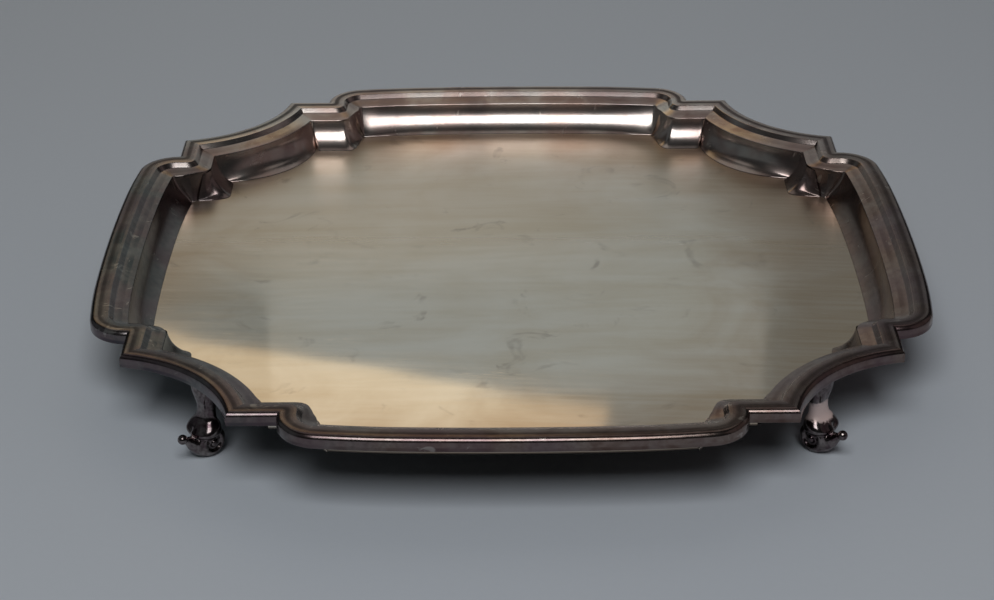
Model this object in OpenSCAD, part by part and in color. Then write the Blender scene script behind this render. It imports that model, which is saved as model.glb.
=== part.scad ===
// Silver salver: a flat square plate inside a raised Bath border of cast lengths,
// on four cast whorl feet. Millimetres, +Z up.
// The origin is on the table, under the centre of the plate.

/* [Outline] */
// Half of the overall width, from the centre to the middle of a bowed side
side_half = 152.4; // [140:0.1:165]
// From the centre to the straight outer edge of a return
return_half = 134.8; // [125:0.1:140]
// From the middle of a side to the re-entrant angle beside it
angle_x = 77.5; // [70:0.1:85]
// From the middle of a side to the sharp corner at the end of its return
corner_x = 94.2; // [90:0.1:100]
// Radius of the rounded end of a side
end_radius = 15.5; // [15.4:0.1:17]
// Radius of an incurved corner
corner_radius = 50.8; // [45:0.1:60]

/* [Border] */
// Height of the border's upright outer face
face_h = 5.0; // [4:0.1:7]
// Width of the flat rim band on top
rim_w = 6.4; // [5:0.1:7]
// Distance in from the outer edge to the foot of the rim's step
groove_in = 8.4; // [8:0.1:10]
// Distance in to the ridge above the scoops
ridge_in = 13.3; // [12.5:0.1:13.6]
// Drop from the rim to the ridge
ridge_drop = 3.4; // [3:0.1:4.5]
// Distance in to the foot of the scoops, where they meet the plate
foot_in = 20.9; // [20:0.1:23]
// Depth of the hollow of a scoop below its chord
scoop_sag = 1.2; // [0.6:0.1:1.4]
// Thickness of the casting
cast_t = 1.5; // [1.2:0.1:2]

/* [Plate] */
// Drop from the rim to the plate's upper face
plate_drop = 14.2; // [13:0.1:16]
// Thickness of the plate
plate_t = 1.0; // [0.8:0.1:2]

/* [Feet] */
// Overall height, from the table to the rim
overall_h = 32.5; // [30:0.1:36]
// Radius of the foot's scroll
scroll_r = 5.7; // [5:0.1:6]
// Width of the scroll across its two eyes
scroll_w = 8.0; // [7:0.1:9]
// Half width of the leg at its shoulder
shoulder_half = 6.5; // [5.5:0.1:7]
// Half width of the leg at its neck
neck_half = 3.0; // [2.5:0.1:4]
// Radius of the toe bead
bead_r = 1.8; // [1.4:0.1:2]

/* [Hidden] */
$fn = 96;

silver = "#B9B4AC";
dark_silver = "#8E8887";
warm_silver = "#C9BDAF";

rim_z = overall_h;
plate_z = rim_z - plate_drop;
ridge_z = rim_z - ridge_drop;

// The rounded end of a side is upright where it reaches the re-entrant angle
end_c = [angle_x - end_radius, return_half];

// The bow of a side is tangent to both of its ends
bow_rise = side_half - return_half;
bow_radius = (end_c[0] * end_c[0] + bow_rise * bow_rise - end_radius * end_radius) / (2 * (bow_rise - end_radius));
bow_c = [0, side_half - bow_radius];
join_a = atan2(end_c[0], end_c[1] - bow_c[1]);

// Centre of the incurved corner, outside the salver on its diagonal
chord_half = (return_half - corner_x) / sqrt(2);
mid_diag = (return_half + corner_x) / 2;
corner_c = mid_diag + sqrt(corner_radius * corner_radius - chord_half * chord_half) / sqrt(2);

// Where the foot line of a return meets that of the incurved corner
foot_y = return_half - foot_in;
foot_r = corner_radius + foot_in;
foot_mitre_x = corner_c - sqrt(foot_r * foot_r - (corner_c - foot_y) * (corner_c - foot_y));

// The crease where a scoop's hollow ends and its bevelled lower edge begins
crease_in = foot_in - 2.5;
crease_z = plate_z + 1.8;
foot_edge = 0.4;
wall_in = ridge_in + 1.7;
lap_in = wall_in - 1.2;

// The nose about a re-entrant angle stands a little further in than the walls beside it
nose_top = ridge_in + 0.7;
nose_foot = wall_in + 1.0;

// Points along a hollow arc from p to q whose middle lies sag below the chord
function hollow(p, q, sag, n) =
    let (
        chord = q - p,
        half = norm(chord) / 2,
        radius = (half * half + sag * sag) / (2 * sag),
        out = [-chord[1], chord[0]] / (2 * half),
        centre = (p + q) / 2 + out * (radius - sag),
        start = atan2(p[1] - centre[1], p[0] - centre[0]),
        end = atan2(q[1] - centre[1], q[0] - centre[0]),
        turn = end - start > 180 ? end - start - 360 : end - start < -180 ? end - start + 360 : end - start
    )
    [for (i = [0:n]) centre + radius * [cos(start + turn * i / n), sin(start + turn * i / n)]];

// The section of the border's rim, band and wall: x is the distance in, y is the height
rim_section = [
    [0.3, rim_z - face_h],
    [0, rim_z - face_h + 0.5],
    [0, rim_z - 0.9],
    [0.3, rim_z - 0.3],
    [0.9, rim_z],
    [rim_w - 0.4, rim_z - 0.3],
    [rim_w + 0.3, rim_z - 0.9],
    [groove_in - 0.2, rim_z - 1.9],
    [groove_in + 0.4, rim_z - 2.0],
    [ridge_in, ridge_z],
    [ridge_in + 0.25, ridge_z - 1.0],
    [ridge_in + 0.9, ridge_z - 5.2],
    [wall_in, plate_z],
    [lap_in, plate_z],
    [ridge_in - 0.9, ridge_z - 5.4],
    [ridge_in - 1.5, ridge_z - 2.0],
    [groove_in - 0.3, rim_z - 2.4 - cast_t],
    [rim_w - 0.6, rim_z - 1.1 - cast_t],
    [cast_t + 0.3, rim_z - 1.1 - cast_t],
    [cast_t, rim_z - face_h]
];

// The section of a scoop, standing on the plate in front of the wall
scoop_section = concat(
    hollow([ridge_in - 0.1, ridge_z - 0.2], [crease_in, crease_z], scoop_sag, 14),
    [
        [foot_in, plate_z + foot_edge],
        [foot_in, plate_z],
        [wall_in - 0.6, plate_z],
        [ridge_in + 0.2, ridge_z - 5.2],
        [ridge_in - 0.6, ridge_z - 1.0]
    ]
);

// The same outline, drawn in by a small amount all round, so that it fits inside the next length
function drawn_in(points, amount) =
    [for (i = [0:len(points) - 1])
        let (
            n = len(points),
            before = points[i] - points[(i + n - 1) % n],
            after = points[(i + 1) % n] - points[i],
            m = [-before[1], before[0]] / norm(before),
            k = [-after[1], after[0]] / norm(after)
        )
        points[i] - amount * (m + k) / (1 + m * k)];

// A section swept round a centre that lies inside the salver, from angle a to b off +Y
module sweep_in(centre, radius, a, b, section) {
    translate([centre[0], centre[1], 0])
        rotate([0, 0, 90 - b])
            rotate_extrude(angle = b - a, $fn = radius > 100 ? 900 : 96)
                polygon([for (p = section) [radius - p[0], p[1]]]);
}

// A section swept round the centre of an incurved corner, which lies outside
module sweep_out(section) {
    translate([corner_c, corner_c, 0])
        rotate([0, 0, 185])
            rotate_extrude(angle = 80)
                polygon([for (p = section) [corner_radius + p[0], p[1]]]);
}

// A section run straight along X from x0 to x1, with its outer edge at y = return_half
module run_x(x0, x1, section) {
    translate([x0, return_half, 0])
        rotate([90, 0, 90])
            linear_extrude(x1 - x0)
                polygon([for (p = section) [-p[0], p[1]]]);
}

// A section run straight along Y from y0 to y1, with its outer edge at x = angle_x
module run_y(y0, y1, section) {
    translate([angle_x, y1, 0])
        rotate([90, 0, 0])
            linear_extrude(y1 - y0)
                polygon([for (p = section) [-p[0], p[1]]]);
}

// The outline whose first half is given, and whose ends lie on the mirror line
function mirrored(half, flip) =
    concat(half, [for (i = [len(half) - 1:-1:0]) if (half[i] != [half[i][0] * flip[0], half[i][1] * flip[1]])
        [half[i][0] * flip[0], half[i][1] * flip[1]]]);

// An upright prism over a plan polygon, taller than the border
module prism(points) {
    translate([0, 0, -1])
        linear_extrude(rim_z + 4)
            polygon(points);
}

// The rounded nose that the wall makes about a re-entrant angle
module nose_limit() {
    translate([angle_x, return_half, 0])
        rotate_extrude()
            polygon([
                [0, 0],
                [nose_foot, 0],
                [nose_foot, plate_z],
                [nose_top + 0.9, ridge_z - 5.2],
                [nose_top, ridge_z],
                [nose_top, rim_z + 2],
                [0, rim_z + 2]
            ]);
}

// The wall under the nose, turned about the re-entrant angle
module nose_wall() {
    translate([angle_x, return_half, 0])
        rotate([0, 0, 180])
            rotate_extrude(angle = 90)
                polygon([
                    [nose_top - 1.5, ridge_z - 0.3],
                    [nose_top + 0.05, ridge_z - 0.3],
                    [nose_top + 0.9, ridge_z - 5.2],
                    [nose_foot, plate_z],
                    [lap_in, plate_z],
                    [nose_top - 0.9, ridge_z - 5.4]
                ]);
}

// A wedge in plan at the re-entrant angle, from the mitre round to the given angle off -X
module nose_plan(from) {
    prism([
        [angle_x, return_half],
        [angle_x - foot_in, return_half - foot_in],
        [angle_x - foot_in, return_half - foot_in * tan(from)]
    ]);
}

// The wall carries on from the return, round the nose and under the side's band
module nose_lap() {
    difference() {
        intersection() {
            nose_wall();
            nose_plan(24);
        }
        run_y(return_half - foot_in, return_half + 1, rim_section);
    }
}

// The plan of a return, between its mitres at the re-entrant angle and at the corner
module return_plan() {
    prism([
        [angle_x, return_half],
        [angle_x + 1, return_half + 1],
        [corner_x + 3, return_half + 1],
        [corner_x, return_half],
        [foot_mitre_x, foot_y],
        [foot_mitre_x - 1, foot_y - 1.4],
        [angle_x - foot_in - 1, return_half - foot_in - 1]
    ]);
}

module return_length() {
    tile_left = angle_x - ridge_in + 3.6;
    tile_right = foot_mitre_x + 2.3;
    nose_lap();
    intersection() {
        return_plan();
        union() {
            run_x(angle_x, corner_x + 2, rim_section);
            nose_wall();
            intersection() {
                run_x(angle_x - foot_in, angle_x, rim_section);
                nose_limit();
            }
            intersection() {
                run_x(angle_x - foot_in, corner_x, scoop_section);
                prism([
                    [tile_left + 1, return_half - ridge_in + 2],
                    [corner_x, return_half - ridge_in + 2],
                    [foot_mitre_x + 4.6, return_half - ridge_in - 0.4],
                    [tile_right, foot_y - 1],
                    [tile_left, foot_y - 1],
                    [tile_left - 2.2, foot_y + 1.8],
                    [tile_left - 2.2, return_half - ridge_in - 2]
                ]);
            }
        }
    }
}

// The side's half of the nose, up to the mitre
module side_nose() {
    intersection() {
        run_y(return_half - foot_in, return_half, rim_section);
        nose_limit();
        nose_plan(0);
    }
}

// The rounded end of a bowed side, tucked 0.3 degrees into the bow and into the nose
module side_end() {
    sweep_in(end_c, end_radius, join_a - 0.3, 90.3, drawn_in(rim_section, 0.03));
    side_nose();
}

module side_length() {
    scoop_end = join_a - 0.04;
    sweep_in(bow_c, bow_radius, -join_a, join_a, rim_section);
    sweep_in(bow_c, bow_radius, -scoop_end, scoop_end, scoop_section);
    side_end();
    mirror([1, 0, 0])
        side_end();
}

// The plan of an incurved corner, between its mitres with the two returns
module corner_plan() {
    prism([
        [corner_x, return_half],
        [foot_mitre_x, foot_y],
        [foot_mitre_x - 3, foot_y - 4.2],
        [foot_y - 4.2, foot_mitre_x - 3],
        [foot_y, foot_mitre_x],
        [return_half, corner_x],
        [return_half + 1, return_half + 1]
    ]);
}

module corner_length() {
    tile_y = return_half - ridge_in;
    tile_x = foot_mitre_x + 5.2;
    intersection() {
        corner_plan();
        union() {
            sweep_out(rim_section);
            intersection() {
                sweep_out(scoop_section);
                prism([
                    [tile_x, return_half],
                    [tile_x, tile_y - 0.8],
                    [tile_x + 2.4, foot_y - 4],
                    [tile_x - 1, tile_x - 1],
                    [foot_y - 4, tile_x + 2.4],
                    [tile_y - 0.8, tile_x],
                    [return_half, tile_x],
                    [return_half, return_half]
                ]);
            }
        }
    }
}

// The plate runs under the foot of every scoop, to the lap with the border's wall
module plate_plan() {
    lap = lap_in - 0.2;
    flat = return_half - lap;
    difference() {
        union() {
            square([2 * angle_x, 2 * return_half], center = true);
            square([2 * return_half, 2 * angle_x], center = true);
            square([2 * flat, 2 * (corner_x + 1)], center = true);
            square([2 * (corner_x + 1), 2 * flat], center = true);
            for (a = [0:90:270])
                rotate(a)
                    bulge_plan(lap);
        }
        for (a = [0:90:270])
            rotate(a) {
                translate([corner_c, corner_c])
                    circle(corner_radius + lap, $fn = 180);
                for (side = [-1, 1])
                    translate([side * angle_x, return_half])
                        circle(lap, $fn = 180);
            }
    }
}

// The bulge of the plate's outline under one bowed side, lap in from the outer edge
module bulge_plan(lap) {
    edge = angle_x - lap;
    intersection() {
        translate(bow_c)
            circle(bow_radius - lap, $fn = 360);
        translate([-edge, 0])
            square([2 * edge, side_half]);
    }
}

module plate() {
    color(silver)
        translate([0, 0, plate_z - plate_t])
            linear_extrude(plate_t)
                plate_plan();
}

// The foot stands on the diagonal: x points out of the salver, y runs along the corner
foot_at = corner_c * sqrt(2) - corner_radius - 4.7;
ceiling_z = rim_z - 1.1 - cast_t;
neck_z = rim_z - 14;
shoulder_z = 10.2;

// The scroll is filed flat where it rests on the table
rest_flat = 0.2;
scroll_z = scroll_r - rest_flat;

// Side outline of the pad and the leg
leg_side = [
    [2.5, ceiling_z],
    [-1.2, ceiling_z],
    [-5.6, ceiling_z - 4.2],
    [-6.0, ceiling_z - 6.2],
    [-3.6, neck_z + 2.2],
    [-2.6, neck_z - 0.8],
    [-2.9, 14],
    [-4.2, 10.5],
    [-4.4, 6],
    [2.8, 6],
    [4.6, 9.0],
    [4.9, 9.8],
    [4.4, 10.8],
    [3.0, 12.4],
    [2.0, 15],
    [1.6, neck_z],
    [2.1, neck_z + 2.6],
    [2.9, neck_z + 5],
    [3.0, ceiling_z - 2.8]
];

// Front outline of the pad and the leg, for the side of positive y
leg_front = [
    [0, ceiling_z],
    [5.2, ceiling_z],
    [5.6, ceiling_z - 3.4],
    [5.0, neck_z + 4.4],
    [3.6, neck_z + 1.8],
    [neck_half, neck_z],
    [neck_half + 0.3, 16],
    [4.4, 13.4],
    [5.8, 11.6],
    [shoulder_half, shoulder_z],
    [shoulder_half - 0.6, shoulder_z - 1],
    [scroll_w / 2, 8.6],
    [scroll_w / 2, 6],
    [0, 6]
];

module leg() {
    intersection() {
        translate([0, 8, 0])
            rotate([90, 0, 0])
                linear_extrude(16)
                    polygon(leg_side);
        translate([-8, 0, 0])
            rotate([90, 0, 90])
                linear_extrude(16)
                    polygon(mirrored(leg_front, [-1, 1]));
    }
}

// A rounded drum with a raised ring and a domed eye at each end
scroll_section = [
    [0, -scroll_w / 2 - 0.9],
    [0.9, -scroll_w / 2 - 0.7],
    [1.5, -scroll_w / 2],
    [1.7, -scroll_w / 2 + 0.5],
    [3.0, -scroll_w / 2 + 0.3],
    [3.7, -scroll_w / 2],
    [4.3, -scroll_w / 2 + 0.1],
    [scroll_r - 0.7, -scroll_w / 2 + 0.9],
    [scroll_r - 0.2, -scroll_w / 4],
    [scroll_r, 0]
];

module scroll() {
    size = 2 * scroll_r;
    intersection() {
        translate([0, 0, scroll_z])
            rotate([90, 0, 0])
                rotate_extrude()
                    polygon(mirrored(scroll_section, [1, -1]));
        translate([-size, -size, 0])
            cube(2 * size);
    }
}

module toe() {
    bead_at = [10.4, 0, scroll_z + 3.9];
    translate([4.2, 0, scroll_z + 1.6])
        rotate([0, 70, 0])
            cylinder(r1 = 2.0, r2 = 1.0, h = 6.2);
    translate(bead_at)
        sphere(bead_r);
}

module foot(turn) {
    color(dark_silver)
        rotate([0, 0, turn])
            translate([foot_at, 0, 0]) {
                leg();
                scroll();
                toe();
            }
}

module side(turn) {
    color(silver)
        rotate([0, 0, turn])
            side_length();
}

// hand is 0 for the return on the +X side of a bow that faces +Y, and 1 for the other
module border_return(turn, hand) {
    color(warm_silver)
        rotate([0, 0, turn])
            mirror([hand, 0, 0])
                return_length();
}

module corner(turn) {
    color(dark_silver)
        rotate([0, 0, turn])
            corner_length();
}

plate();

side(0);  // side_back
side(90);  // side_left
side(180);  // side_front
side(270);  // side_right

border_return(0, 0);  // return_back_right
border_return(0, 1);  // return_back_left
border_return(90, 0);  // return_left_back
border_return(90, 1);  // return_left_front
border_return(180, 0);  // return_front_left
border_return(180, 1);  // return_front_right
border_return(270, 0);  // return_right_front
border_return(270, 1);  // return_right_back

corner(0);  // corner_back_right
corner(90);  // corner_back_left
corner(180);  // corner_front_left
corner(270);  // corner_front_right

foot(45);  // foot_back_right
foot(135);  // foot_back_left
foot(225);  // foot_front_left
foot(315);  // foot_front_right
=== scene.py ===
"""Silver salver: the visual model of a square Bath border salver on four cast feet, with its stage.

Run it as a script. It is laid out as an add-on: the sizes and finishes are properties, each group
of pieces has its own operator, and the panel in the 3D view's sidebar lists them.
Lengths in the properties are in metres, and the shape functions work in millimetres.
"""

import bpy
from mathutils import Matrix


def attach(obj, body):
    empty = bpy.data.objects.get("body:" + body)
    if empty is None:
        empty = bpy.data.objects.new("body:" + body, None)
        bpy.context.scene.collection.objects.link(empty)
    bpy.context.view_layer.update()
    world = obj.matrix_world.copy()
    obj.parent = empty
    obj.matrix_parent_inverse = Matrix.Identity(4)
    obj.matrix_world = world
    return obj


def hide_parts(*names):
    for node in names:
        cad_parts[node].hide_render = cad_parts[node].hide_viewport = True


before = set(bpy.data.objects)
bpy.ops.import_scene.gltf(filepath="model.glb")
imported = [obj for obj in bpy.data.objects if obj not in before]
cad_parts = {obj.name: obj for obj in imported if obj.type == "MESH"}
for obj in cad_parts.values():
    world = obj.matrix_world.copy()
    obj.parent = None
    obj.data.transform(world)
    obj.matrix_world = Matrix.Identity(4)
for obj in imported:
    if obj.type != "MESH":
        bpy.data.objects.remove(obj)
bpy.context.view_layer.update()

import math

import bmesh
import bpy
import numpy as np
from bpy.props import FloatProperty, FloatVectorProperty, PointerProperty, StringProperty
from bpy.types import Operator, Panel, PropertyGroup
from mathutils import Matrix, Quaternion, Vector
from mathutils.geometry import delaunay_2d_cdt

bl_info = {
    "name": "Silver salver",
    "version": (1, 0, 0),
    "blender": (4, 5, 0),
    "location": "3D View > Sidebar > Salver",
    "description": "Builds a silver salver with a cast border and four cast feet",
    "category": "Object",
}

SIDES = {"side_back": 0, "side_left": 90, "side_front": 180, "side_right": 270}
CORNERS = {"corner_back_right": 0, "corner_back_left": 90, "corner_front_left": 180, "corner_front_right": 270}
RETURNS = {
    "return_back_right": (0, 1), "return_back_left": (0, -1),
    "return_left_back": (90, 1), "return_left_front": (90, -1),
    "return_front_left": (180, 1), "return_front_right": (180, -1),
    "return_right_front": (270, 1), "return_right_back": (270, -1),
}
FEET = {"foot_back_right": 45, "foot_back_left": 135, "foot_front_left": 225, "foot_front_right": 315}

# Distances in from the outer edge, in millimetres: where the band starts behind the rim, the ridge
# above the scoops, the foot of the wall under it, and the edge of the plate
BAND_IN, RIDGE_IN, WALL_IN, PLATE_IN = 8.8, 13.3, 16.4, 16.2
PUNCH_DEPTH = 0.3


# ---------------------------------------------------------------- sizes and finishes

def length(name, description, default, low, high):
    return FloatProperty(name=name, description=description, default=default, min=low, max=high,
                         unit="LENGTH", subtype="DISTANCE", precision=5)


def colour(name, description, default):
    return StringProperty(name=name, description=description + ", as an sRGB hex value", default=default)


class SalverShape(PropertyGroup):
    """Sizes of the salver"""
    side_half: length("Side half", "From the centre to the middle of a bowed side", 0.1524, 0.14, 0.165)
    return_half: length("Return half", "From the centre to the outer edge of a return", 0.1348, 0.125, 0.14)
    angle_x: length("Angle", "From the middle of a side to its re-entrant angle", 0.0775, 0.07, 0.085)
    corner_x: length("Corner", "From the middle of a side to the sharp corner", 0.0942, 0.09, 0.1)
    bow_radius: length("Bow radius", "Radius of the middle stretch of a side", 1.0, 0.7, 1.4)
    bow_half: length("Bow half", "Half length of the middle stretch", 0.037, 0.025, 0.045)
    end_radius: length("End radius", "Radius of the rounded end of a side", 0.0148, 0.0142, 0.017)
    corner_radius: length("Corner radius", "Radius of an incurved corner", 0.0508, 0.045, 0.06)
    overall_h: length("Overall height", "From the table to the rim", 0.0325, 0.03, 0.036)
    plate_drop: length("Plate drop", "From the rim to the plate", 0.0142, 0.013, 0.016)
    plate_t: length("Plate thickness", "Thickness of the plate", 0.001, 0.0008, 0.002)
    ridge_drop: length("Ridge drop", "From the rim to the ridge above the scoops", 0.0034, 0.003, 0.0045)
    foot_in: length("Foot line", "Distance in to where the scoops meet the plate", 0.0209, 0.02, 0.023)
    scroll_r: length("Scroll radius", "Radius of the scroll of a foot", 0.0057, 0.005, 0.006)


class SalverFinish(PropertyGroup):
    """Colours of the silver and of its tarnish"""
    silver: colour("Silver", "Clean sterling silver", "#F2EEE6")
    rose: colour("Rose", "First bloom of tarnish on the castings", "#CBAFA4")
    straw: colour("Straw", "First bloom of tarnish", "#C9B48C")
    amber: colour("Amber", "Tarnish where the plate meets the border", "#A98560")
    brown: colour("Brown", "Deeper tarnish", "#5E4A41")
    mauve: colour("Mauve", "Purple tarnish", "#65535A")
    blue: colour("Blue", "Blue-green tarnish on the most handled rim", "#38464A")
    # Soot is also painted on the undersides, as painted shade under the tray
    soot_and_shade: colour("Soot", "Old polish and sulphide in the hollows", "#2A2322")
    # A painted pink reflection on the leg of one foot
    paste: colour("Paste", "Dried pink polish paste", "#EED6D0")
    waviness: length("Waviness", "Height of the slow waves in the hammered plate", 0.00008, 0.0, 0.0004)


class SalverStage(PropertyGroup):
    """Floor, lights and camera"""
    floor: colour("Floor", "Pale grey table top", "#D2DAE3")
    room: colour("Room", "Light that comes from all round", "#212223")
    lens: FloatProperty(name="Lens", description="Focal length of the camera in millimetres", default=82.67,
                        min=20, max=200)
    camera_at: FloatVectorProperty(name="Camera", description="Where the camera stands",
                                   default=(-0.0042, -0.7821, 0.4048), unit="LENGTH", subtype="TRANSLATION")
    pitch: FloatProperty(name="Pitch", description="How far down the camera looks",
                         default=math.radians(27.10), unit="ROTATION", subtype="ANGLE")
    yaw: FloatProperty(name="Yaw", description="Turn of the camera to the right",
                       default=math.radians(-0.067), unit="ROTATION", subtype="ANGLE")
    roll: FloatProperty(name="Roll", description="Roll of the camera",
                        default=math.radians(-0.404), unit="ROTATION", subtype="ANGLE")


# ---------------------------------------------------------------- shape in plan and section

class Outline:
    """The outline in plan and the heights, in millimetres."""

    def __init__(self, shape):
        def mm(name):
            return getattr(shape, name) * 1000

        self.rim_z = mm("overall_h")
        self.plate_z = self.rim_z - mm("plate_drop")
        self.plate_t = mm("plate_t")
        self.ridge_z = self.rim_z - mm("ridge_drop")
        self.foot_in = mm("foot_in")
        self.scroll_r = mm("scroll_r")
        self.v = np.array((mm("angle_x"), mm("return_half")))
        self.bow_r, self.end_r = mm("bow_radius"), mm("end_radius")
        self.bow_c = np.array((0.0, mm("side_half") - self.bow_r))
        self.bow_a = math.asin(mm("bow_half") / self.bow_r)
        bow_n = np.array((math.sin(self.bow_a), math.cos(self.bow_a)))
        self.end_c = np.array((self.v[0] - self.end_r, self.v[1]))
        gap = self.bow_c - self.end_c
        reach = self.bow_r - self.end_r
        slide = (reach ** 2 - gap @ gap) / (2 * (gap @ bow_n + reach))
        self.shoulder_r = self.bow_r - slide
        self.shoulder_c = self.bow_c + slide * bow_n
        join = self.end_c - self.shoulder_c
        self.join_a = math.atan2(join[0], join[1])
        self.corner_r, corner_x = mm("corner_radius"), mm("corner_x")
        half = (self.v[1] - corner_x) / math.sqrt(2)
        self.corner_c = (self.v[1] + corner_x) / 2 + math.sqrt(self.corner_r ** 2 - half ** 2) / math.sqrt(2)

    def nose(self, turn, d):
        """Points at distances d in, along the ray that leaves the re-entrant angle at this turn."""
        c, s = math.cos(turn), math.sin(turn)
        m = (c + s) / 2
        if s <= 0.5 * c:
            k = 1 / c
        elif c <= 0.5 * s:
            k = 1 / s
        else:
            k = m + math.sqrt(m * m - 0.25)
        deg = math.degrees(turn)
        ridge = curve(deg, (0, 12, 23, 38, 52, 65, 78, 90), (13.3, 13.2, 12.9, 13.6, 14.7, 14.5, 13.6, 13.3))
        foot = curve(deg, (0, 19, 36, 55, 75, 90), (15.4, 16.4, 15.8, 15.8, 15.6, 15.4))
        band = BAND_IN * k
        reach = np.where(d <= BAND_IN, d * k,
                         np.where(d <= RIDGE_IN, band + (d - BAND_IN) / (RIDGE_IN - BAND_IN) * (ridge - band),
                                  ridge + (d - RIDGE_IN) / (WALL_IN - RIDGE_IN) * (foot - ridge)))
        drop = (RIDGE_IN - ridge / k) / (RIDGE_IN - BAND_IN) * 1.4
        return np.stack((self.v[0] - reach * c, self.v[1] - reach * s), 1), max(drop, 0.0)

    def side_run(self, d):
        """Plan points for distances d in, from the middle of a side to the nose's mitre."""
        rows, rise = [], []
        for a in np.linspace(0, self.bow_a, 9):
            rows.append(self.bow_c + (self.bow_r - d)[:, None] * (math.sin(a), math.cos(a)))
            rise.append(0.0)
        for a in np.linspace(self.bow_a, self.join_a, 10)[1:]:
            rows.append(self.shoulder_c + (self.shoulder_r - d)[:, None] * (math.sin(a), math.cos(a)))
            rise.append(0.0)
        for a in np.linspace(self.join_a, math.pi / 2, 15)[1:]:
            rows.append(self.end_c + (self.end_r - d)[:, None] * (math.sin(a), math.cos(a)))
            rise.append(0.0)
        for a in np.linspace(0, math.pi / 4, 12)[1:]:
            at, up = self.nose(a, d)
            rows.append(at)
            rise.append(up)
        return np.array(rows), np.array(rise)

    def return_run(self, d):
        """The same for a return, from the nose's mitre to the sharp corner's mitre."""
        rows, rise = [], []
        for a in np.linspace(math.pi / 4, math.pi / 2, 12):
            at, up = self.nose(a, d)
            rows.append(at)
            rise.append(up)
        y = self.v[1] - d
        mitre = self.corner_c - np.sqrt(np.maximum((self.corner_r + d) ** 2 - (self.corner_c - y) ** 2, 0))
        for w in np.linspace(0, 1, 9)[1:]:
            rows.append(np.stack((self.v[0] + (mitre - self.v[0]) * w, y), 1))
            rise.append(0.0)
        return np.array(rows), np.array(rise)

    def corner_run(self, d):
        """The same for an incurved corner, from one mitre to the other."""
        r = self.corner_r + d
        start = np.arcsin((self.corner_c - self.v[1] + d) / r)
        rows = []
        for w in np.linspace(0, 1, 33):
            a = start + (math.pi / 2 - 2 * start) * w
            rows.append(self.corner_c - r[:, None] * np.stack((np.cos(a), np.sin(a)), 1))
        return np.array(rows), np.zeros(33)

    def rail(self):
        """The section of rim, band and wall as a ring: distance in, height, and depth of tarnish, which on the
        underside is painted shade.
        """
        wall = self.plate_z - self.rim_z + 0.03
        corners = (
            # distance in, height from the rim, radius, steps, tarnish and painted shade
            (0.0, -5.0, 0.5, 3, 0.55), (0.0, -0.08, 1.9, 9, 0.08), (3.6, 0.0, 8.0, 3, 0.8),
            (6.75, -0.22, 0.5, 5, 0.15), (8.35, -2.0, 0.75, 6, 0.3), (10.8, -2.68, 0.0, 0, 0.45),
            (RIDGE_IN, self.ridge_z - self.rim_z + 0.03, 0.32, 5, 0.04), (13.55, -4.7, 0.0, 0, 0.2),
            (14.1, -8.8, 0.0, 0, 0.25), (15.0, -12.0, 0.0, 0, 0.3), (WALL_IN, wall, 0.0, 0, 0.5),
            # From here the ring runs back along the underside to the outer face; its high values there are painted
            # shade under the tray
            (14.2, -12.5, 0.0, 0, 1.0), (12.4, -8.8, 0.0, 0, 0.9), (11.8, -5.5, 0.5, 2, 0.9),
            (8.1, -4.3, 0.5, 2, 0.9), (5.8, -3.1, 0.5, 2, 0.9), (2.2, -3.1, 0.4, 2, 0.9), (1.6, -5.0, 0.3, 2, 0.8),
        )
        points = rounded(corners)
        points[:, 1] += self.rim_z
        return points


def curve(x, xs, ys):
    """A smooth curve through the given points."""
    xs, ys = np.asarray(xs, float), np.asarray(ys, float)
    slope = np.gradient(ys, xs, axis=0)
    x = np.clip(x, xs[0], xs[-1])
    i = np.clip(np.searchsorted(xs, x) - 1, 0, len(xs) - 2)
    h = xs[i + 1] - xs[i]
    t = (x - xs[i]) / h
    if ys.ndim > 1:
        h, t = h[:, None], t[:, None]
    return ((1 + 2 * t) * (1 - t) ** 2 * ys[i] + t * (1 - t) ** 2 * h * slope[i]
            + t * t * (3 - 2 * t) * ys[i + 1] + t * t * (t - 1) * h * slope[i + 1])


def rounded(corners):
    """A closed outline with rounded corners, each x, y, radius, steps and a value carried along."""
    out, n = [], len(corners)
    for i, (x, y, radius, steps, extra) in enumerate(corners):
        p = np.array((x, y))
        if not radius:
            out.append((x, y, extra))
            continue
        u = np.array(corners[i - 1][:2]) - p
        v = np.array(corners[(i + 1) % n][:2]) - p
        u, v = u / np.linalg.norm(u), v / np.linalg.norm(v)
        turn = math.acos(max(-1, min(1, u @ v)))
        centre = p + (u + v) / np.linalg.norm(u + v) * radius / math.sin(turn / 2)
        s, e = [p + way * radius / math.tan(turn / 2) - centre for way in (u, v)]
        sweep = math.pi - turn
        for k in range(steps + 1):
            w = k / steps
            q = centre + (math.sin((1 - w) * sweep) * s + math.sin(w * sweep) * e) / math.sin(sweep)
            out.append((q[0], q[1], extra))
    return np.array(out)


def rail_solid(plan, run):
    """The rings of a rail along one run, and the tarnish and painted shade at each of their points."""
    section = plan.rail()
    rows, drop = run(section[:, 0])
    z = np.repeat(section[None, :, 1], len(rows), 0)
    d = section[None, :, 0]
    falls = (np.clip((d - BAND_IN) / (RIDGE_IN - BAND_IN), 0, 1)
             * np.clip((z - plan.plate_z) / (plan.ridge_z - plan.plate_z), 0, 1))
    top = np.arange(len(section))[None, :] <= section[:, 0].argmax()
    z = z + np.where(top, drop[:, None] * falls * 0.6, 0)
    return np.concatenate((rows, z[:, :, None]), 2), np.repeat(section[None, :, 2], len(rows), 0)


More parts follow.
